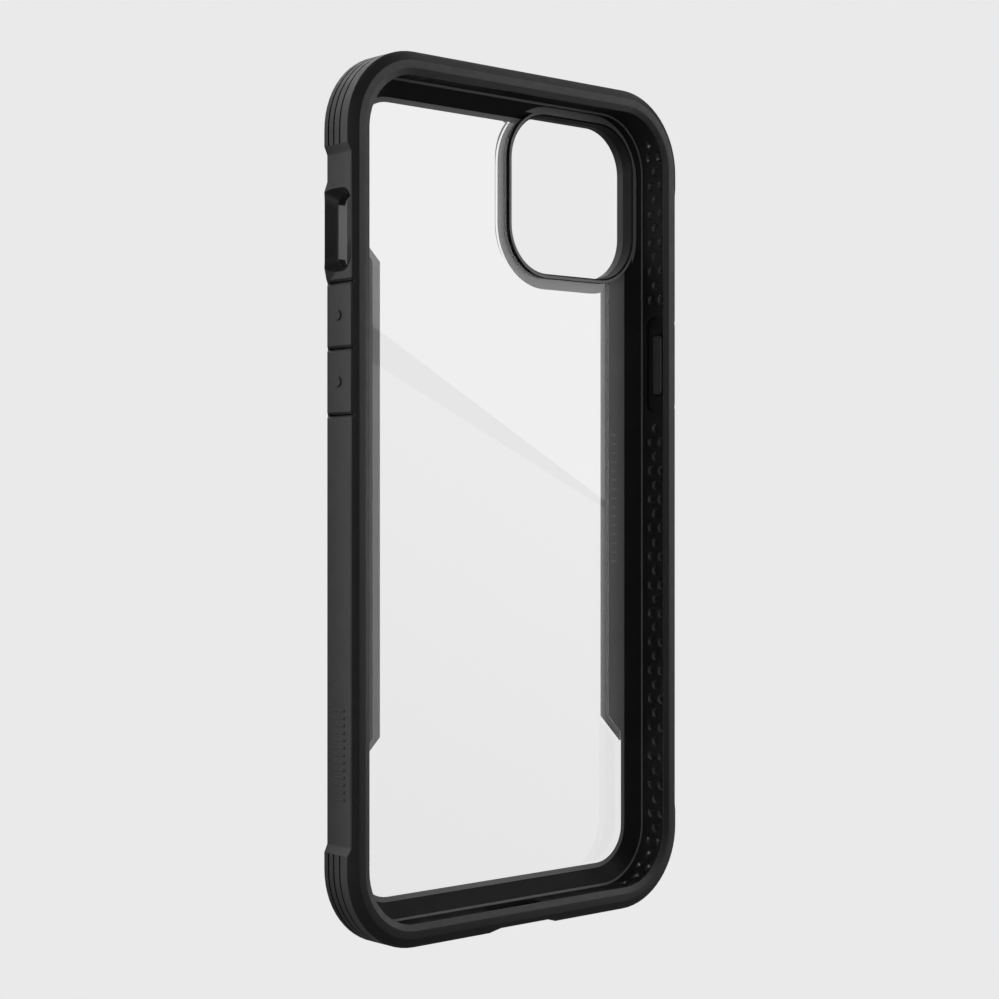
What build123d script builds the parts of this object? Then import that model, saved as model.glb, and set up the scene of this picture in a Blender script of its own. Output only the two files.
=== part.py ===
"""Rugged bumper case for a 6.7-inch phone, open screen side facing -Y.

The case stands upright on its bottom edge. X runs across it, +Y is the back and +Z is up.
The origin is under the middle of the case, on the surface that it stands on.
Insets are measured inwards from the corner bumpers, and depths back from the front of the lip.
"""
from build123d import *
import os
from math import cos, sin

os.makedirs("parts", exist_ok=True)

# Overall size
bumper_width = 87.1
height = 168.6
depth = 12.6
corner_radius = 15.7
side_step = 0.7            # the corner bumpers stand this proud of the flat side faces
side_width = bumper_width - 2 * side_step

# Phone cavity
wall = 3.9
side_wall = wall - side_step
cavity_radius = corner_radius - wall
ridge_inset = 4.4
ridge_depth = 7.1          # the back frame's front edge
floor_depth = 9.13
slope_inset = 7.4
rim_inset = 8.36
back_depth = 10.9

# Front lip
lip_flat_outer = 1.78      # insets of the flat's two edges
lip_flat_inner = 3.3
lip_edge_inset = 4.5
lip_edge_depth = 0.44
lip_under_depth = 0.85
lip_under_rise = 0.25
lip_rounding = 0.2
bevel_depth = 1.3
lip_thickness = 0.95       # the frame starts behind this much rubber

# Outer frame
frame_wall = 2.4
frame_flange_inset = 4.1
frame_flange_depth = 9.9
back_chamfer = 2.6
chamfer_depth = back_depth - back_chamfer
step_start = 65.5          # heights from mid-height where the side step's ramps start and end
step_end = 64.0
step_fillet = 1.0
groove_depths = (3.4, 5.2, 6.8)
groove_width = 0.4
groove_cut = 0.4
groove_end_x = 27.0

# Bottom edge
foot_half = 27.0           # between these the foot fills the back chamfer
foot_rise = 3.2
foot_back_half = 23.4      # the foot's end, level with the back of the camera ring
foot_back_rise = 2.2
port_step = 0.72
port_step_half = 7.5
port_ramp = 2.5
port_length = 13.6
port_width = 5.0
port_depth = 4.5

# Buttons: end heights of each cap from mid-height
volume_up_ends = (27.9, 40.2)
volume_down_ends = (15.6, 27.9)
power_ends = (19.5, 37.1)
buttons = (
    ("volume_up", -1, volume_up_ends),
    ("volume_down", -1, volume_down_ends),
    ("power", 1, power_ends),
)
cap_gap = 0.2
cap_thickness = 1.0
cap_back_depth = chamfer_depth
cap_front_depth = 1.1
groove_v = 0.45
dot_radius = 1.0
dot_height = 0.25
dot_depth = 5.1
pad_front_depth = 1.8
pad_back_depth = 4.4
pad_reach = 3.05           # flat side face to the pad's inner face
pad_gap = 0.25
pad_margin = 2.55          # the pad ends this far inside the cap's ends
pad_radius = 0.8
recess_cut = 0.8
recess_front_depth = 1.1
recess_back_depth = 6.0
recess_margin = 4.0        # the recess runs this far past each end of the pad

# Mute switch window
mute_ends = (43.0, 56.5)
mute_front_depth = 1.3
mute_back_depth = 7.2
mute_radius = 2.4
flare_inset = 1.5
flare_ends = (41.6, 58.2)
flare_front_depth = 1.0
flare_back_depth = 8.9
flare_radius = 3.0
boss_ends = (43.0, 57.1)
boss_ramps = (3.2, 1.9)    # below and above
boss_front_depth = 4.7

# Camera opening in the upper right of the back
camera_left = 3.5
camera_right = 37.6
camera_bottom = 46.0
camera_top = 78.15
camera_radius = 9.5
camera_taper = 0.15
rim_depth = 8.2            # the raised rim round the opening, where the phone's back rests
rim_border = 0.85
rim_chamfer = 0.3
collar_left = 0.6
collar_right = 38.85
collar_bottom = 43.0
collar_top = 79.95
collar_radius = 12.5
ring_border = 2.0
ring_chamfer = 0.5

# Clear back panel and the two rails beside it
rail_edge_x = 29.5
rail_step_x = 31.6         # the panel's front sheet covers the rail up to here
rail_half = 45.3
pocket_depth = 9.8
panel_gap = 0.05
collar_fillet = 3.5

# Dimples in the cavity's side walls, in rows counted up and down from mid-height
dimple_radius = 1.2
dimple_floor_radius = 0.7
dimple_cut = 0.4
dimple_pitch = 3.0
dimple_columns = ((4.5, 1.65), (3.3, 0.2))   # depths in even and odd rows
dimple_front_depth = 0.9
dimple_gaps = ((-1, 12.5, 60.0), (1, 16.5, 41.0))   # side and the heights left plain
dimple_lowest_row = -28
dimple_highest_row = 25


def level(behind_lip):
    """A sketch plane centred on the case, facing the screen side, this far behind the lip."""
    return Plane(origin=(0, behind_lip - depth / 2, height / 2), x_dir=(1, 0, 0), z_dir=(0, -1, 0))


def side_level(side, inside):
    """A sketch plane this far inside a flat side face: local x is the height, local y the depth.

    Extruding by side * distance goes inwards from it.
    """
    x = side * (side_width / 2 - inside)
    return Plane(origin=(x, -depth / 2, height / 2), x_dir=(0, 0, 1), z_dir=(-1, 0, 0))


def inset_outline(inset, mode=Mode.ADD):
    """The bumpers' rounded outline, moved inwards by the inset."""
    RectangleRounded(bumper_width - 2 * inset, height - 2 * inset, corner_radius - inset, mode=mode)


def step_outline(side, shift=0.0):
    """The shallow step along one side between the bumpers, moved inwards by the shift."""
    proud_x = side * (bumper_width / 2 - shift)
    flat_x = side * (side_width / 2 - shift)
    outside_x = side * (bumper_width / 2 + 1)
    Polygon(
        (proud_x, step_start),
        (flat_x, step_end),
        (flat_x, -step_end),
        (proud_x, -step_start),
        (outside_x, -step_start),
        (outside_x, step_start),
        align=None,
    )


def boss_outline(shift=0.0):
    """The proud rim beside the mute window, moved inwards by the shift."""
    flat_x = shift - side_width / 2
    Polygon(
        (flat_x + 1, boss_ends[0] - boss_ramps[0]),
        (flat_x, boss_ends[0] - boss_ramps[0]),
        (flat_x - side_step, boss_ends[0]),
        (flat_x - side_step, boss_ends[1]),
        (flat_x, boss_ends[1] + boss_ramps[1]),
        (flat_x + 1, boss_ends[1] + boss_ramps[1]),
        align=None,
    )


def flat_corners(sketch, shift=0.0):
    """The corners where a step or a boss meets the flat side face."""
    flat_x = side_width / 2 - shift
    return sketch.vertices().filter_by(lambda corner: abs(abs(corner.X) - flat_x) < 0.01)


def opening_outline(grow=0.0, mode=Mode.ADD):
    """The camera opening, made larger or smaller all round."""
    centre = ((camera_left + camera_right) / 2, (camera_bottom + camera_top) / 2)
    with Locations(centre):
        RectangleRounded(
            camera_right - camera_left + 2 * grow,
            camera_top - camera_bottom + 2 * grow,
            camera_radius + grow,
            mode=mode,
        )


def collar_outline(mode=Mode.ADD):
    """The flat collar round the camera opening."""
    centre = ((collar_left + collar_right) / 2, (collar_bottom + collar_top) / 2)
    with Locations(centre):
        RectangleRounded(collar_right - collar_left, collar_top - collar_bottom, collar_radius, mode=mode)


def rail_outline(side, edge_x, top_half, mode=Mode.SUBTRACT):
    """One rail, cut off at 45 degrees at both ends."""
    outer_x = bumper_width / 2 - rim_inset + 1
    run = outer_x - edge_x
    Polygon(
        (side * edge_x, top_half),
        (side * edge_x, -rail_half),
        (side * outer_x, -rail_half - run),
        (side * outer_x, top_half + run),
        align=None,
        mode=mode,
    )


def pocket_outline():
    """The front sheet of the clear panel: inside the rim, beside the rails and round the camera."""
    inset_outline(rim_inset)
    rail_outline(-1, rail_step_x, rail_half)
    rail_outline(1, rail_step_x, height / 2)
    opening_outline(grow=rim_border, mode=Mode.SUBTRACT)


def window_outline():
    """The see-through window: inside the rim, the rails and the collar."""
    inset_outline(rim_inset)
    rail_outline(-1, rail_edge_x, rail_half)
    rail_outline(1, rail_edge_x, rail_half)
    collar_outline(mode=Mode.SUBTRACT)


def collar_corners(sketch):
    """The two inner corners where the collar meets the window's top edge and the right rail."""
    top_edge = height / 2 - rim_inset
    return sketch.vertices().filter_by(
        lambda v: (abs(v.X - collar_left) < 0.01 and abs(v.Y - top_edge) < 0.01)
        or (abs(v.X - rail_edge_x) < 0.01 and abs(v.Y - collar_bottom) < 0.01)
    )


def centred_slot(ends, front, back, radius):
    """A rounded rectangle in a side wall, between two heights and two depths."""
    with Locations(((ends[0] + ends[1]) / 2, (front + back) / 2)):
        RectangleRounded(ends[1] - ends[0], back - front, radius)


def pad_ends(ends, grow=0.0):
    """The heights of the pad's two ends behind a button cap."""
    return ends[0] + pad_margin - grow, ends[1] - pad_margin + grow


def cavity_plane(side, along, behind_lip):
    """A plane on the cavity's side wall facing into the wall, this far along from mid-height."""
    straight = height / 2 - corner_radius
    turn = max(abs(along) - straight, 0) / cavity_radius
    end = 1 if along > 0 else -1
    x = side * (bumper_width / 2 - corner_radius + cavity_radius * cos(turn))
    z = height / 2 + end * (min(abs(along), straight) + cavity_radius * sin(turn))
    return Plane(
        origin=(x, behind_lip - depth / 2, z),
        x_dir=(0, 1, 0),
        z_dir=(side * cos(turn), 0, end * sin(turn)),
    )


def dimple_planes():
    """Staggered dimples up both side walls and round their corners, clear of the buttons."""
    planes = []
    for side, gap_bottom, gap_top in dimple_gaps:
        for row in range(dimple_lowest_row, dimple_highest_row + 1):
            along = row * dimple_pitch
            if gap_bottom < along < gap_top:
                continue
            for behind_lip in dimple_columns[row % 2]:
                planes.append(cavity_plane(side, along, behind_lip))
    return planes


# The block that bounds the lip and the frame: bevelled in front, chamfered behind.
with BuildPart() as blank:
    with BuildSketch(level(0)):
        inset_outline(lip_flat_outer)
    with BuildSketch(level(bevel_depth)):
        inset_outline(0)
    loft()
    with BuildSketch(level(bevel_depth)):
        inset_outline(0)
    extrude(amount=-(chamfer_depth - bevel_depth))
    with BuildSketch(level(chamfer_depth)):
        inset_outline(0)
    with BuildSketch(level(back_depth)):
        inset_outline(back_chamfer)
    loft()
    # The side faces step in between the corner bumpers.
    for side in (-1, 1):
        with BuildSketch(level(-1)) as step_sketch:
            step_outline(side)
            fillet(flat_corners(step_sketch), step_fillet)
        extrude(amount=-(chamfer_depth + 1), mode=Mode.SUBTRACT)
        with BuildSketch(level(chamfer_depth)) as step_sketch:
            step_outline(side)
            fillet(flat_corners(step_sketch), step_fillet)
        with BuildSketch(level(back_depth)) as step_sketch:
            step_outline(side, back_chamfer)
            fillet(flat_corners(step_sketch, back_chamfer), step_fillet)
        loft(mode=Mode.SUBTRACT)
    # A foot carries the bottom edge to the full depth, so that the case stands.
    with BuildSketch(level(chamfer_depth)):
        with Locations((0, (foot_rise - height) / 2)):
            Rectangle(2 * foot_half, foot_rise)
    with BuildSketch(level(back_depth)):
        with Locations((0, (foot_rise - height) / 2)):
            Rectangle(2 * (foot_half - back_chamfer), foot_rise)
    loft()
    with BuildSketch(level(back_depth)):
        with Locations((0, (foot_rise - height) / 2)):
            Rectangle(2 * (foot_half - back_chamfer), foot_rise)
    with BuildSketch(level(depth)):
        with Locations((0, (foot_back_rise - height) / 2)):
            Rectangle(2 * foot_back_half, foot_back_rise)
    loft()
    # The bottom edge steps in under the charging port.
    with BuildSketch(level(-1)):
        Polygon(
            (-port_step_half - port_ramp / 2, -height / 2),
            (-port_step_half + port_ramp / 2, port_step - height / 2),
            (port_step_half - port_ramp / 2, port_step - height / 2),
            (port_step_half + port_ramp / 2, -height / 2),
            (port_step_half, -height / 2 - 1),
            (-port_step_half, -height / 2 - 1),
            align=None,
        )
    extrude(amount=-(depth + 2), mode=Mode.SUBTRACT)

# The proud rim round the back half of the mute window, rising gently out of the side face.
with BuildPart() as mute_boss:
    with BuildSketch(level(boss_front_depth)):
        boss_outline(side_step)
    with BuildSketch(level(chamfer_depth)):
        boss_outline()
    loft(ruled=True)
    with BuildSketch(level(chamfer_depth)):
        boss_outline()
    with BuildSketch(level(back_depth)):
        boss_outline(back_chamfer)
    loft(ruled=True)

# V-grooves that part the button caps, across the side faces and the lip's bevel.
with BuildPart() as button_grooves:
    for side, heights in ((-1, volume_down_ends + volume_up_ends[1:]), (1, power_ends)):
        face_x = side * side_width / 2
        reach = groove_v + cap_gap / 2
        with BuildSketch(level(-0.1)):
            for z in heights:
                Polygon(
                    (face_x - side * groove_v, z - cap_gap / 2),
                    (face_x - side * groove_v, z + cap_gap / 2),
                    (face_x + side * 0.5, z + reach + 0.5),
                    (face_x + side * 0.5, z - reach - 0.5),
                    align=None,
                )
        extrude(amount=-(cap_back_depth + 1.0))

# The mute window: a straight hole through the wall, flared towards the outside.
with BuildPart() as mute_window:
    with BuildSketch(side_level(-1, -1)):
        centred_slot(mute_ends, mute_front_depth, mute_back_depth, mute_radius)
    extrude(amount=-(side_wall + 2))
    with BuildSketch(side_level(-1, flare_inset)):
        centred_slot(mute_ends, mute_front_depth, mute_back_depth, mute_radius)
    with BuildSketch(side_level(-1, -side_step - 0.1)):
        centred_slot(flare_ends, flare_front_depth, flare_back_depth, flare_radius)
    loft()

# The charging port in the bottom edge.
with BuildPart() as port_slot:
    with BuildSketch(Plane.XY.offset(-1)):
        with Locations((0, port_depth - depth / 2)):
            RectangleRounded(port_length, port_width, port_width / 2 - 0.01)
    extrude(amount=wall + 2)

# The camera tunnel: chamfered in front, then narrowing a little towards the back.
with BuildPart() as camera_tunnel:
    with BuildSketch(level(rim_depth - 0.1)):
        opening_outline(grow=rim_chamfer + 0.1)
    with BuildSketch(level(rim_depth + rim_chamfer)):
        opening_outline()
    loft()
    with BuildSketch(level(rim_depth + rim_chamfer)):
        opening_outline()
    with BuildSketch(level(depth + 0.1)):
        opening_outline(grow=-camera_taper)
    loft()

with BuildPart() as dimples:
    with Locations(*[plane.offset(-0.1) for plane in dimple_planes()]):
        Cone(
            dimple_radius,
            dimple_floor_radius,
            dimple_cut + 0.1,
            align=(Align.CENTER, Align.CENTER, Align.MIN),
        )
    with BuildSketch(level(-2)):
        Rectangle(bumper_width, height)
    extrude(amount=-(dimple_front_depth + 2), mode=Mode.SUBTRACT)

with BuildPart() as outer_frame:
    add(blank.part)
    add(mute_boss.part)
    with BuildSketch(level(-1)):
        Rectangle(bumper_width + 2, height + 2)
    extrude(amount=-(lip_thickness + 1), mode=Mode.SUBTRACT)
    with BuildSketch(level(lip_thickness)):
        inset_outline(frame_wall)
    extrude(amount=-(frame_flange_depth - lip_thickness), mode=Mode.SUBTRACT)
    with BuildSketch(level(frame_flange_depth)):
        inset_outline(frame_flange_inset)
    extrude(amount=-(depth - frame_flange_depth), mode=Mode.SUBTRACT)
    for behind_lip in groove_depths:
        with BuildSketch(level(behind_lip)):
            inset_outline(-0.5)
            inset_outline(groove_cut, Mode.SUBTRACT)
            Rectangle(2 * groove_end_x, height + 2, mode=Mode.SUBTRACT)
            Rectangle(bumper_width + 2, 2 * step_start, mode=Mode.SUBTRACT)
        extrude(amount=-groove_width, mode=Mode.SUBTRACT)
    # Notches for the button caps, open to the lip.
    for name, side, ends in buttons:
        with BuildSketch(side_level(side, -2)):
            with Locations(((ends[0] + ends[1]) / 2, cap_back_depth / 2)):
                Rectangle(ends[1] - ends[0] + cap_gap, cap_back_depth)
        extrude(amount=side * (frame_wall + 3), mode=Mode.SUBTRACT)
    add(button_grooves.part, mode=Mode.SUBTRACT)
    add(mute_window.part, mode=Mode.SUBTRACT)
    add(port_slot.part, mode=Mode.SUBTRACT)
outer_frame.part.label = "outer_frame"
export_step(outer_frame.part, "parts/outer_frame.step")

with BuildPart() as inner_liner:
    add(blank.part)
    with BuildSketch(level(lip_thickness)):
        Rectangle(bumper_width + 2, height + 2)
    extrude(amount=-depth, mode=Mode.SUBTRACT)
    with BuildSketch(level(lip_thickness)):
        inset_outline(frame_wall)
    extrude(amount=-(ridge_depth - lip_thickness))
    # The mouth: chamfered in front, undercut behind the lip's edge.
    with BuildSketch(level(0)):
        inset_outline(lip_flat_inner)
    with BuildSketch(level(lip_edge_depth)):
        inset_outline(lip_edge_inset)
    loft(mode=Mode.SUBTRACT)
    with BuildSketch(level(lip_edge_depth)):
        inset_outline(lip_edge_inset)
    extrude(amount=-(lip_under_depth - lip_edge_depth), mode=Mode.SUBTRACT)
    with BuildSketch(level(lip_under_depth - lip_under_rise)):
        inset_outline(lip_edge_inset)
    with BuildSketch(level(lip_under_depth)):
        inset_outline(wall)
    loft(mode=Mode.SUBTRACT)
    with BuildSketch(level(lip_under_depth)):
        inset_outline(wall)
    extrude(amount=-ridge_depth, mode=Mode.SUBTRACT)
    fillet(inner_liner.faces().sort_by(Axis.Y)[0].edges(), lip_rounding)
    for name, side, ends in buttons:
        with BuildSketch(side_level(side, side_wall - recess_cut)):
            centred_slot(
                pad_ends(ends, recess_margin),
                recess_front_depth,
                recess_back_depth,
                (recess_back_depth - recess_front_depth) / 2 - 0.01,
            )
        extrude(amount=side * recess_cut, mode=Mode.SUBTRACT)
        with BuildSketch(side_level(side, frame_wall - side_step - 0.5)):
            centred_slot(
                pad_ends(ends, pad_gap),
                pad_front_depth - pad_gap,
                pad_back_depth + pad_gap,
                pad_radius + pad_gap,
            )
        extrude(amount=side * (wall - frame_wall), mode=Mode.SUBTRACT)
    add(button_grooves.part, mode=Mode.SUBTRACT)
    add(mute_window.part, mode=Mode.SUBTRACT)
    add(port_slot.part, mode=Mode.SUBTRACT)
    add(dimples.part, mode=Mode.SUBTRACT)
inner_liner.part.label = "inner_liner"
export_step(inner_liner.part, "parts/inner_liner.step")

with BuildPart() as back_frame:
    with BuildSketch(level(ridge_depth)):
        inset_outline(frame_wall)
    extrude(amount=-(frame_flange_depth - ridge_depth))
    with BuildSketch(level(frame_flange_depth)):
        inset_outline(frame_flange_inset)
    extrude(amount=-(back_depth - frame_flange_depth))
    # The slope that the phone's rounded back edge rests in, down to the flat rim.
    with BuildSketch(level(ridge_depth)):
        inset_outline(ridge_inset)
    with BuildSketch(level(floor_depth)):
        inset_outline(slope_inset)
    loft(mode=Mode.SUBTRACT)
    with BuildSketch(level(ridge_depth)):
        collar_outline()
    extrude(amount=-(rim_depth - ridge_depth), mode=Mode.SUBTRACT)
    with BuildSketch(level(rim_depth)):
        opening_outline(grow=rim_border)
    extrude(amount=-(floor_depth - rim_depth))
    with BuildSketch(level(floor_depth)):
        pocket_outline()
    extrude(amount=-(pocket_depth - floor_depth), mode=Mode.SUBTRACT)
    with BuildSketch(level(pocket_depth)) as window_sketch:
        window_outline()
        fillet(collar_corners(window_sketch), collar_fillet)
    extrude(amount=-(depth - pocket_depth), mode=Mode.SUBTRACT)
    add(camera_tunnel.part, mode=Mode.SUBTRACT)
back_frame.part.label = "back_frame"
export_step(back_frame.part, "parts/back_frame.step")

with BuildPart() as clear_back_panel:
    with BuildSketch(level(floor_depth)):
        pocket_outline()
        offset(amount=-panel_gap)
    extrude(amount=-(pocket_depth - floor_depth))
    with BuildSketch(level(pocket_depth)) as window_sketch:
        window_outline()
        fillet(collar_corners(window_sketch), collar_fillet)
        offset(amount=-panel_gap)
    extrude(amount=-(back_depth - pocket_depth))
clear_back_panel.part.label = "clear_back_panel"
export_step(clear_back_panel.part, "parts/clear_back_panel.step")

with BuildPart() as camera_ring:
    with BuildSketch(level(back_depth)):
        opening_outline(grow=ring_border)
    extrude(amount=-(depth - back_depth))
    chamfer(camera_ring.faces().sort_by(Axis.Y)[-1].edges(), ring_chamfer)
    add(camera_tunnel.part, mode=Mode.SUBTRACT)
camera_ring.part.label = "camera_ring"
export_step(camera_ring.part, "parts/camera_ring.step")

for name, side, ends in buttons:
    with BuildPart() as cap:
        with BuildSketch(side_level(side, 0)):
            with Locations(((ends[0] + ends[1]) / 2, (cap_front_depth + cap_back_depth - cap_gap) / 2)):
                Rectangle(ends[1] - ends[0] - cap_gap, cap_back_depth - cap_gap - cap_front_depth)
        extrude(amount=side * cap_thickness)
        outer_face = cap.faces().sort_by(Axis.X)[0 if side < 0 else -1]
        chamfer(outer_face.edges().filter_by(Axis.Y), groove_v)
        with BuildSketch(side_level(side, 0.2)):
            with Locations(((ends[0] + ends[1]) / 2, dot_depth)):
                Circle(dot_radius)
        extrude(amount=-side * (dot_height + 0.2))
        fillet(cap.edges().filter_by(GeomType.CIRCLE).sort_by(Axis.X)[0 if side < 0 else -1], 0.15)
    cap.part.label = name + "_cap"
    export_step(cap.part, "parts/" + name + "_cap.step")

    with BuildPart() as plunger:
        with BuildSketch(side_level(side, cap_thickness)):
            centred_slot(pad_ends(ends), pad_front_depth, pad_back_depth, pad_radius)
        extrude(amount=side * (pad_reach - cap_thickness))
        inner_face = plunger.faces().sort_by(Axis.X)[-1 if side < 0 else 0]
        fillet(inner_face.edges(), 0.3)
    plunger.part.label = name + "_plunger"
    export_step(plunger.part, "parts/" + name + "_plunger.step")
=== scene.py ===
"""Looks for a rugged bumper phone case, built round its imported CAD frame. Lengths are metres."""
import math

import bpy
import bmesh
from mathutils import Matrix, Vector


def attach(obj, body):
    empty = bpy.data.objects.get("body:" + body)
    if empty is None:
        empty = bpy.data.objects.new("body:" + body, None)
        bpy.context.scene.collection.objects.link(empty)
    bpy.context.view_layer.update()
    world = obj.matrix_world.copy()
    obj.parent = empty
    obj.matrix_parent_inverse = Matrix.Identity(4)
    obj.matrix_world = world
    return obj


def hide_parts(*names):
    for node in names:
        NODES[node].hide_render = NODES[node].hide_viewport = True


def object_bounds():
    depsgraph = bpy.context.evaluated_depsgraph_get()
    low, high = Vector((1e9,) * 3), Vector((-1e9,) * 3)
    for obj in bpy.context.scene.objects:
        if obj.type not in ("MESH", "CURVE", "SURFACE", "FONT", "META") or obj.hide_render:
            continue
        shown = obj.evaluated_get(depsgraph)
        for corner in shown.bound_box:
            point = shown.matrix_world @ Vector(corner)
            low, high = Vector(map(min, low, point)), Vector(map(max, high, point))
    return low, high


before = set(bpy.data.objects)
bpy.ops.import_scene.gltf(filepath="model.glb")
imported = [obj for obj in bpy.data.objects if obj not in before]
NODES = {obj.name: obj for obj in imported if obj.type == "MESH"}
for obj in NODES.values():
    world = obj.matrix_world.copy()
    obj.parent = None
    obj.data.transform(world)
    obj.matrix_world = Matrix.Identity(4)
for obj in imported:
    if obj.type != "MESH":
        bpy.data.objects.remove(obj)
cad_low, cad_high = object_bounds()
scene = bpy.context.scene
scene.view_settings.view_transform = "Standard"
scene.view_settings.look = "None"

MM = 0.001
CENTRE = (cad_low + cad_high) / 2
LIP_FRONT = cad_low.y
CASE = "case"


def behind_lip(depth_mm):
    """The Y of a place this many millimetres behind the front of the lip."""
    return LIP_FRONT + depth_mm * MM


# ---------------------------------------------------------------- materials
def new_material(name):
    """An empty Principled material, its tree, its shader and its object coordinates."""
    material = bpy.data.materials.new(name)
    material.use_nodes = True
    tree = material.node_tree
    shader = tree.nodes["Principled BSDF"]
    place = tree.nodes.new("ShaderNodeTexCoord")
    return material, tree, shader, place.outputs["Object"]


def noise(tree, place, scale, detail=4.0):
    """Procedural noise in object coordinates."""
    node = tree.nodes.new("ShaderNodeTexNoise")
    node.inputs["Scale"].default_value = scale
    node.inputs["Detail"].default_value = detail
    node.inputs["Roughness"].default_value = 0.5
    tree.links.new(place, node.inputs["Vector"])
    return node.outputs["Fac"]


def spread(tree, value, low, high, from_low=0.35, from_high=0.65):
    """Spreads a value between two plain numbers."""
    node = tree.nodes.new("ShaderNodeMapRange")
    node.inputs["From Min"].default_value = from_low
    node.inputs["From Max"].default_value = from_high
    node.inputs["To Min"].default_value = low
    node.inputs["To Max"].default_value = high
    tree.links.new(value, node.inputs["Value"])
    return node.outputs["Result"]


def tint(tree, value, dark, light):
    """Two colours mixed by a noise value."""
    node = tree.nodes.new("ShaderNodeValToRGB")
    node.color_ramp.elements[0].position = 0.3
    node.color_ramp.elements[0].color = (*dark, 1)
    node.color_ramp.elements[1].position = 0.7
    node.color_ramp.elements[1].color = (*light, 1)
    tree.links.new(value, node.inputs["Fac"])
    return node.outputs["Color"]


def calculate(tree, operation, first, second):
    """One sum on two values, each a plain number or another node's output."""
    node = tree.nodes.new("ShaderNodeMath")
    node.operation = operation
    for socket, value in zip(node.inputs, (first, second)):
        if isinstance(value, (int, float)):
            socket.default_value = value
        else:
            tree.links.new(value, socket)
    return node.outputs[0]


def axes(tree, place):
    """The three separate coordinates of a place."""
    node = tree.nodes.new("ShaderNodeSeparateXYZ")
    tree.links.new(place, node.inputs[0])
    return node.outputs


def bump(tree, shader, height, distance, strength):
    """Fine surface relief, in metres, from a height value."""
    node = tree.nodes.new("ShaderNodeBump")
    node.inputs["Strength"].default_value = strength
    node.inputs["Distance"].default_value = distance
    tree.links.new(height, node.inputs["Height"])
    tree.links.new(node.outputs["Normal"], shader.inputs["Normal"])


SHADE_STARTS = 1.2      # millimetres behind the lip's front, where the frame's painted sheen and shade starts and ends
SHADE_ENDS = 8.3        # starts and ends


def satin_frame_painted_light(name):
    """The hard frame's satin plastic with painted light in its colour: a painted sheen just behind
    the lip, painted shade on its very bevel, and darker towards the back.
    """
    material, tree, shader, place = new_material(name)
    depth = axes(tree, place)[1]
    along = spread(tree, depth, 0.0, 1.0, behind_lip(SHADE_STARTS), behind_lip(SHADE_ENDS))
    cloud = calculate(tree, "MULTIPLY", noise(tree, place, 90, 3), 0.12)
    ramp = tree.nodes.new("ShaderNodeValToRGB")
    stops = ramp.color_ramp.elements
    # Painted shade on the bevel, a painted sheen just behind it, painted shade deeper back.
    stops[0].position, stops[0].color = 0.06, (0.012, 0.012, 0.014, 1)
    stops[1].position, stops[1].color = 1.0, (0.005, 0.005, 0.006, 1)
    painted_sheen_stop = stops.new(0.1)
    painted_sheen_stop.color = (0.048, 0.048, 0.05, 1)
    tree.links.new(calculate(tree, "ADD", along, cloud), ramp.inputs["Fac"])
    tree.links.new(ramp.outputs["Color"], shader.inputs["Base Color"])
    tree.links.new(spread(tree, noise(tree, place, 300, 3), 0.36, 0.44), shader.inputs["Roughness"])
    bump(tree, shader, noise(tree, place, 2600, 2), 0.00002, 0.25)
    return material


def soft_rubber(name, dark, light, low_roughness, high_roughness, shine=0.5):
    """Matte moulded rubber with a spark-eroded grain."""
    material, tree, shader, place = new_material(name)
    tree.links.new(tint(tree, noise(tree, place, 60, 4), dark, light), shader.inputs["Base Color"])
    tree.links.new(
        spread(tree, noise(tree, place, 500, 4), low_roughness, high_roughness),
        shader.inputs["Roughness"],
    )
    shader.inputs["Specular IOR Level"].default_value = shine
    bump(tree, shader, noise(tree, place, 1500, 3), 0.00003, 0.4)
    return material


def moulded_black(name, dark, light, roughness, shine):
    """Moulded black plastic with a fine spark-eroded grain and a set amount of shine."""
    material, tree, shader, place = new_material(name)
    tree.links.new(tint(tree, noise(tree, place, 120, 3), dark, light), shader.inputs["Base Color"])
    tree.links.new(
        spread(tree, noise(tree, place, 300, 3), roughness - 0.04, roughness + 0.04),
        shader.inputs["Roughness"],
    )
    shader.inputs["Specular IOR Level"].default_value = shine
    bump(tree, shader, noise(tree, place, 2400, 2), 0.00002, 0.3)
    return material


def clear_plastic(name):
    """Polished clear plastic with a faint orange-peel."""
    material, tree, shader, place = new_material(name)
    shader.inputs["Base Color"].default_value = (1, 1, 1, 1)
    shader.inputs["Transmission Weight"].default_value = 1.0
    shader.inputs["IOR"].default_value = 1.5
    tree.links.new(spread(tree, noise(tree, place, 40, 2), 0.0, 0.015), shader.inputs["Roughness"])
    return material


FRAME_SATIN_PAINTED_LIGHT = satin_frame_painted_light("frame_satin_black_painted_light")
# Two copies of the back frame's one plastic, picked by which way each face turns: near-black for
# painted shade on slopes and walls, pale grey for painted light on the flats.
BACK_SLOPE_PAINTED_SHADE = moulded_black("back_frame_slope_painted_shade", (0.004,) * 3, (0.007,) * 3, 0.46, 0.2)
BACK_FLAT_PAINTED_LIGHT = moulded_black("back_frame_flat_painted_light", (0.225,) * 3, (0.245,) * 3, 0.55, 0.3)
CAVITY_WALL = moulded_black("cavity_wall", (0.008,) * 3, (0.013,) * 3, 0.6, 0.12)
DIMPLE = moulded_black("dimple_gloss", (0.012,) * 3, (0.018,) * 3, 0.24, 0.9)
LIP_RUBBER = soft_rubber(
    "liner_black_rubber", (0.012, 0.012, 0.013), (0.018, 0.018, 0.019), 0.36, 0.44, 0.38
)
PAD_RUBBER = soft_rubber(
    "button_pad_rubber", (0.016, 0.016, 0.017), (0.024, 0.024, 0.025), 0.45, 0.55
)
RING_SATIN = soft_rubber(
    "camera_ring_satin", (0.02, 0.02, 0.022), (0.028, 0.028, 0.03), 0.3, 0.38
)
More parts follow.
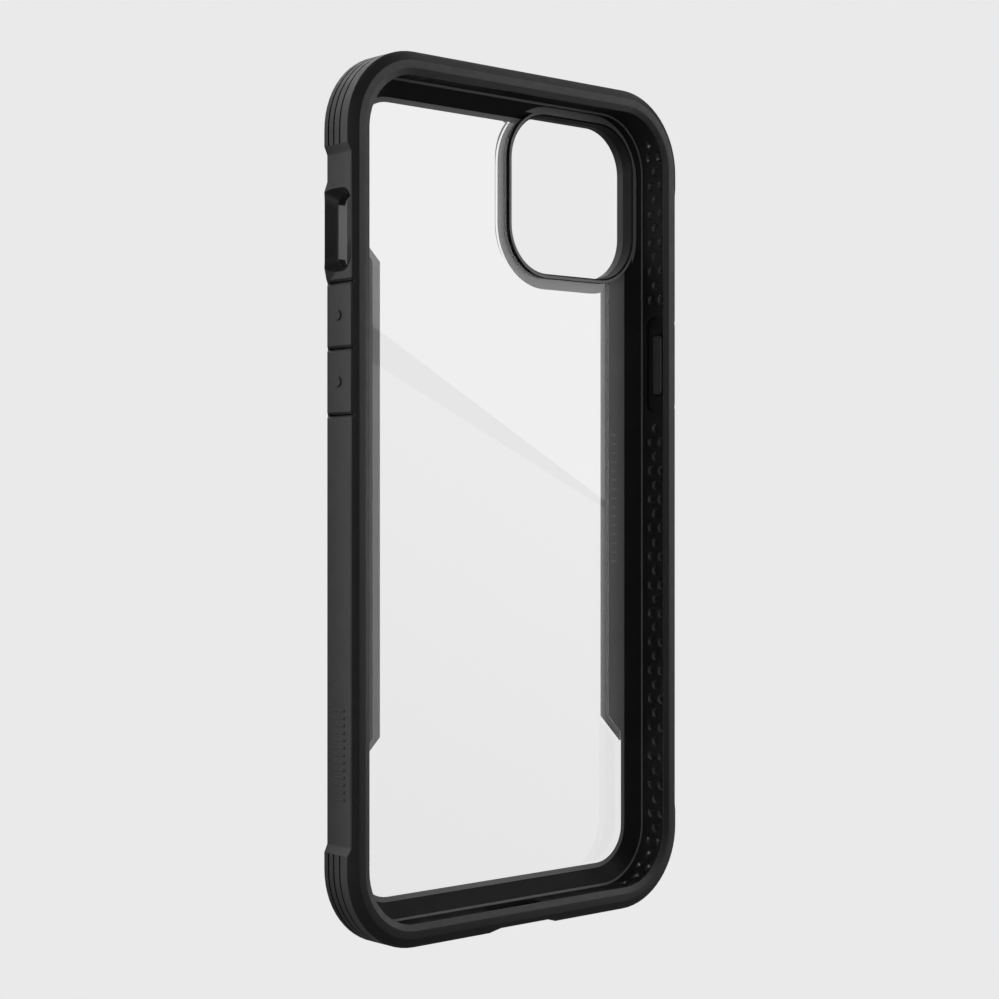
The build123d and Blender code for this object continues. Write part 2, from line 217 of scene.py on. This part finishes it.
MARK_GREY = moulded_black("moulded_mark_grey", (0.3,) * 3, (0.36,) * 3, 0.5, 0.4)
CLEAR = clear_plastic("clear_panel_plastic")


def finish_node(node, material):
    """Gives a CAD node its finish."""
    for slot in NODES[node].material_slots:
        slot.material = material


# The frame and button caps take the satin plastic with its painted sheen and shade.
for node in ("outer_frame", "volume_up_cap", "volume_down_cap", "power_cap"):
    finish_node(node, FRAME_SATIN_PAINTED_LIGHT)
finish_node("camera_ring", RING_SATIN)
for node in ("volume_up_plunger", "volume_down_plunger", "power_plunger"):
    finish_node(node, PAD_RUBBER)
finish_node("clear_back_panel", CLEAR)


# ---------------------------------------------------------------- clear panel
AIR_GAP = 0.04 * MM          # behind the front sheet, so that its back face shines too
CAVITY_RADIUS = 11.8 * MM
CENTRE_TO_WALL = 39.65 * MM
CENTRE_TO_END = 80.4 * MM
SHEET_FRONT = behind_lip(9.8)        # the panel's front step
CRISP_ANGLE = math.radians(22)       # edges turning by more than this stay crisp
LIP_ENDS = behind_lip(0.86)
DIMPLES_END = behind_lip(6.0)
DIMPLE_DEPTH = 0.45 * MM
DIMPLES_START_X = 28 * MM
PLAIN_HEIGHTS = {-1: (12.5, 60.0), 1: (16.5, 41.0)}   # beside the buttons, from mid-height, mm
NEAR = 0.01 * MM


def merged_copy(node):
    """A bmesh of a CAD node with its loose triangles joined."""
    shape = bmesh.new()
    shape.from_mesh(NODES[node].data)
    bmesh.ops.remove_doubles(shape, verts=shape.verts, dist=0.001 * MM)
    return shape


def add_piece(name, shape, materials):
    """A finished mesh piece in its place, riding on the case."""
    mesh = bpy.data.meshes.new(name)
    shape.to_mesh(mesh)
    shape.free()
    for material in materials:
        mesh.materials.append(material)
    piece = bpy.data.objects.new(name, mesh)
    scene.collection.objects.link(piece)
    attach(piece, CASE)
    return piece


def smooth_rounds(shape):
    """Smooth shading that keeps every real edge crisp."""
    for face in shape.faces:
        face.smooth = True
    for edge in shape.edges:
        edge.smooth = len(edge.link_faces) == 2 and edge.calc_face_angle(0.0) < CRISP_ANGLE


def refinish(node, name, materials, choose):
    """A merged copy of a CAD node whose faces take their material from where they are and which way
    they face; on the back frame this paints light and shade.
    """
    shape = merged_copy(node)
    smooth_rounds(shape)
    for face in shape.faces:
        face.material_index = choose(face)
    piece = add_piece(name, shape, materials)
    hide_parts(node)


def into_wall(place):
    """How far a place lies outside the phone cavity's rounded outline, and which way is out."""
    half_x = CENTRE_TO_WALL - CAVITY_RADIUS
    half_z = CENTRE_TO_END - CAVITY_RADIUS
    above = place.z - CENTRE.z
    beside = Vector((
        math.copysign(max(abs(place.x) - half_x, 0.0), place.x),
        0.0,
        math.copysign(max(abs(above) - half_z, 0.0), above),
    ))
    return beside.length - CAVITY_RADIUS, beside.normalized()


def back_frame_painted_light_and_shade(face):
    """Painted light and shade by facing: slopes and walls take the near-black copy, the flats that
    face the screen side the pale grey copy, the back the satin plastic.
    """
    if face.normal.y > 0.5:
        return 2
    return 1 if face.normal.y < -0.95 else 0


def liner_finish(face):
    """The lip satin, the cavity's walls matte, the dimples in them shiny."""
    place = face.calc_center_median()
    if place.y < LIP_ENDS:
        return 0
    side = math.copysign(1.0, place.x)
    above = (place.z - CENTRE.z) / MM
    plain = PLAIN_HEIGHTS[side]
    beside_button = plain[0] < above < plain[1]
    depth, outwards = into_wall(place)
    sloping = NEAR < depth < DIMPLE_DEPTH and abs(face.normal.dot(outwards)) < 0.95
    dimpled = abs(place.x) > DIMPLES_START_X and place.y < DIMPLES_END
    if sloping and dimpled and not beside_button:
        return 2
    return 1


def build_panel():
    """The clear panel, its front sheet lifted off the rails by a thin air gap."""
    shape = merged_copy("clear_back_panel")
    for vert in shape.verts:
        if abs(vert.co.y - SHEET_FRONT) < NEAR:
            vert.co.y -= AIR_GAP
    panel = add_piece("clear_panel_visual", shape, (CLEAR,))
    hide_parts("clear_back_panel")


refinish(
    "back_frame",
    "back_frame_visual",
    (BACK_SLOPE_PAINTED_SHADE, BACK_FLAT_PAINTED_LIGHT, FRAME_SATIN_PAINTED_LIGHT),
    back_frame_painted_light_and_shade,
)
refinish(
    "inner_liner",
    "inner_liner_visual",
    (LIP_RUBBER, CAVITY_WALL, DIMPLE),
    liner_finish,
)
build_panel()


# ---------------------------------------------------------------- moulded marks
def node_tree(name, sizes):
    """An empty Geometry Nodes tree with named size inputs."""
    tree = bpy.data.node_groups.new(name, "GeometryNodeTree")
    tree.interface.new_socket("Geometry", in_out="OUTPUT", socket_type="NodeSocketGeometry")
    for label, kind in sizes:
        tree.interface.new_socket(label, in_out="INPUT", socket_type=kind)
    start = tree.nodes.new("NodeGroupInput")
    end = tree.nodes.new("NodeGroupOutput")
    return tree, start, end


def rib_row_tree(material):
    """A straight row of small rounded ribs on a flat face."""
    tree, start, end = node_tree("rib_row", (
        ("First", "NodeSocketVector"),
        ("Step", "NodeSocketVector"),
        ("Count", "NodeSocketInt"),
        ("Rib Size", "NodeSocketVector"),
    ))
    line = tree.nodes.new("GeometryNodeMeshLine")
    line.mode = "OFFSET"
    tree.links.new(start.outputs["Count"], line.inputs["Count"])
    tree.links.new(start.outputs["First"], line.inputs["Start Location"])
    tree.links.new(start.outputs["Step"], line.inputs["Offset"])
    rib = tree.nodes.new("GeometryNodeMeshCube")
    tree.links.new(start.outputs["Rib Size"], rib.inputs["Size"])
    copies = tree.nodes.new("GeometryNodeInstanceOnPoints")
    tree.links.new(line.outputs["Mesh"], copies.inputs["Points"])
    tree.links.new(rib.outputs["Mesh"], copies.inputs["Instance"])
    real = tree.nodes.new("GeometryNodeRealizeInstances")
    tree.links.new(copies.outputs["Instances"], real.inputs["Geometry"])
    paint = tree.nodes.new("GeometryNodeSetMaterial")
    paint.inputs["Material"].default_value = material
    tree.links.new(real.outputs["Geometry"], paint.inputs["Geometry"])
    tree.links.new(paint.outputs["Geometry"], end.inputs["Geometry"])
    return tree


def mesh_from_tree(name, tree, values, material, soften):
    """Runs a tree with its inputs set and keeps the result as a plain piece."""
    seed_mesh = bpy.data.meshes.new(name + "_seed")
    holder = bpy.data.objects.new(name + "_holder", seed_mesh)
    scene.collection.objects.link(holder)
    modifier = holder.modifiers.new("nodes", "NODES")
    modifier.node_group = tree
    for item in tree.interface.items_tree:
        if item.in_out == "INPUT" and item.name in values:
            modifier[item.identifier] = values[item.name]
    ready = holder.evaluated_get(bpy.context.evaluated_depsgraph_get())
    mesh = bpy.data.meshes.new_from_object(ready)
    bpy.data.objects.remove(holder)
    mesh.materials.clear()
    shape = bmesh.new()
    shape.from_mesh(mesh)
    bpy.data.meshes.remove(mesh)
    bmesh.ops.bevel(
        shape, geom=list(shape.edges), offset=soften, segments=2, profile=0.5, affect="EDGES"
    )
    bmesh.ops.recalc_face_normals(shape, faces=shape.faces)
    add_piece(name, shape, (material,))


RIB_ROW = rib_row_tree(FRAME_SATIN_PAINTED_LIGHT)


def rib_row(name, first, step, count, size, material, soften):
    """A row of ribs, its places and sizes given in metres and its edges rounded by soften."""
    values = {"First": first, "Step": step, "Count": count, "Rib Size": size}
    mesh_from_tree(name, RIB_ROW, values, material, soften)


rib_row(
    "side_grip_ribs",
    (cad_low.x + 0.7 * MM, behind_lip(4.6), CENTRE.z - 55.4 * MM),
    (0.0, 0.0, 1.37 * MM),
    13,
    (0.3 * MM, 3.0 * MM, 0.5 * MM),
    FRAME_SATIN_PAINTED_LIGHT,
    0.1 * MM,
)
for side, name in ((-1, "left_rail_ticks"), (1, "right_rail_ticks")):
    rib_row(
        name,
        (side * 33.1 * MM, behind_lip(9.13), CENTRE.z - 13.0 * MM),
        (0.0, 0.0, 1.9 * MM),
        15,
        (1.5 * MM, 0.1 * MM, 0.35 * MM),
        MARK_GREY,
        0.03 * MM,
    )


# ---------------------------------------------------------------- stage, camera and lights
BACKGROUND = 0.823      # a plain pale grey
CAMERA_PLACE = Vector((-0.2751, LIP_FRONT - 0.3003, CENTRE.z))
CAMERA_YAW = math.radians(41.72)
CAMERA_LENS = 74.6


def glow_material(name, low, high=None):
    """A plain emitter, even or fading from its low edge to its high edge."""
    material = bpy.data.materials.new(name)
    material.use_nodes = True
    tree = material.node_tree
    tree.nodes.clear()
    light = tree.nodes.new("ShaderNodeEmission")
    light.inputs["Color"].default_value = (1, 1, 1, 1)
    light.inputs["Strength"].default_value = low
    if high is not None:
        sheet = tree.nodes.new("ShaderNodeUVMap")
        up = axes(tree, sheet.outputs["UV"])[1]
        tree.links.new(spread(tree, up, low, high, 0.0, 1.0), light.inputs["Strength"])
    out = tree.nodes.new("ShaderNodeOutputMaterial")
    tree.links.new(light.outputs["Emission"], out.inputs["Surface"])
    return material


def stage_mesh(name, shape, material):
    """A mesh that belongs to the studio and not to the case."""
    mesh = bpy.data.meshes.new(name)
    shape.to_mesh(mesh)
    shape.free()
    mesh.materials.append(material)
    stage = bpy.data.objects.new(name, mesh)
    scene.collection.objects.link(stage)
    return stage


def make_stage():
    """A pale floor and a pale surround of the same tone, seen but not lighting the case."""
    pale = glow_material("pale_surround", BACKGROUND)
    surround = bmesh.new()
    bmesh.ops.create_icosphere(surround, subdivisions=4, radius=6.0)
    floor = bmesh.new()
    bmesh.ops.create_grid(floor, x_segments=1, y_segments=1, size=5.0)
    bmesh.ops.translate(floor, verts=floor.verts, vec=(0, 0, -0.0005))
    for name, shape in (("surround", surround), ("floor", floor)):
        stage = stage_mesh(name, shape, pale)
        stage.visible_diffuse = False
        stage.visible_glossy = False
        stage.visible_shadow = False


def light_panel(name, centre, across, width, height, low, high=None):
    """A glowing sheet that faces the case, its width along the across direction."""
    centre = Vector(centre)
    facing = (CENTRE - centre).normalized()
    across = Vector(across)
    across = (across - facing * across.dot(facing)).normalized()
    up = facing.cross(across)
    if up.z < 0:
        up = -up
    shape = bmesh.new()
    corners = [
        shape.verts.new(centre + across * (i * width / 2) + up * (j * height / 2))
        for i, j in ((-1, -1), (1, -1), (1, 1), (-1, 1))
    ]
    face = shape.faces.new(corners)
    layer = shape.loops.layers.uv.new("sheet")
    for loop, place in zip(face.loops, ((0, 0), (1, 0), (1, 1), (0, 1))):
        loop[layer].uv = place
    panel = stage_mesh(name, shape, glow_material(name + "_glow", low, high))
    panel.visible_camera = False
    panel.visible_transmission = False
    panel.visible_shadow = False


make_stage()
world = bpy.data.worlds.new("studio")
world.use_nodes = True
world.node_tree.nodes["Background"].inputs["Color"].default_value = (0.11, 0.11, 0.113, 1)
world.node_tree.nodes["Background"].inputs["Strength"].default_value = 1.0
scene.world = world

EDGE_MIDDLE = Vector((0.6594, -0.7449, 0.1292))
EDGE_ALONG = Vector((0.7568, 0.3709, -0.5382))
EDGE_UP = Vector((0.3938, 0.3985, 0.8283))
light_panel("key_light", EDGE_MIDDLE + EDGE_UP * 0.28, EDGE_ALONG, 1.5, 0.56, 1.7)
light_panel("low_light", EDGE_MIDDLE - EDGE_UP * 0.16, EDGE_ALONG, 1.5, 0.32, 0.0, 1.0)
light_panel("top_light", (0.55, 0.2, 1.05), (1, 0, 0), 1.0, 0.8, 0.6)
light_panel("back_light", (-0.35, 1.1, 0.2), (1, 0, 0), 3.0, 2.6, 0.05, 1.4)
light_panel("left_light", (-0.9, -0.43, 0.1), (0.43, -0.9, 0), 0.36, 1.3, 1.8)

camera_data = bpy.data.cameras.new("camera")
camera_data.sensor_width = 36
camera_data.lens = CAMERA_LENS
camera_data.clip_start = 0.01
camera_data.clip_end = 50
camera = bpy.data.objects.new("camera", camera_data)
scene.collection.objects.link(camera)
camera.location = CAMERA_PLACE
camera.rotation_euler = (math.radians(90), 0, -CAMERA_YAW)
scene.camera = camera
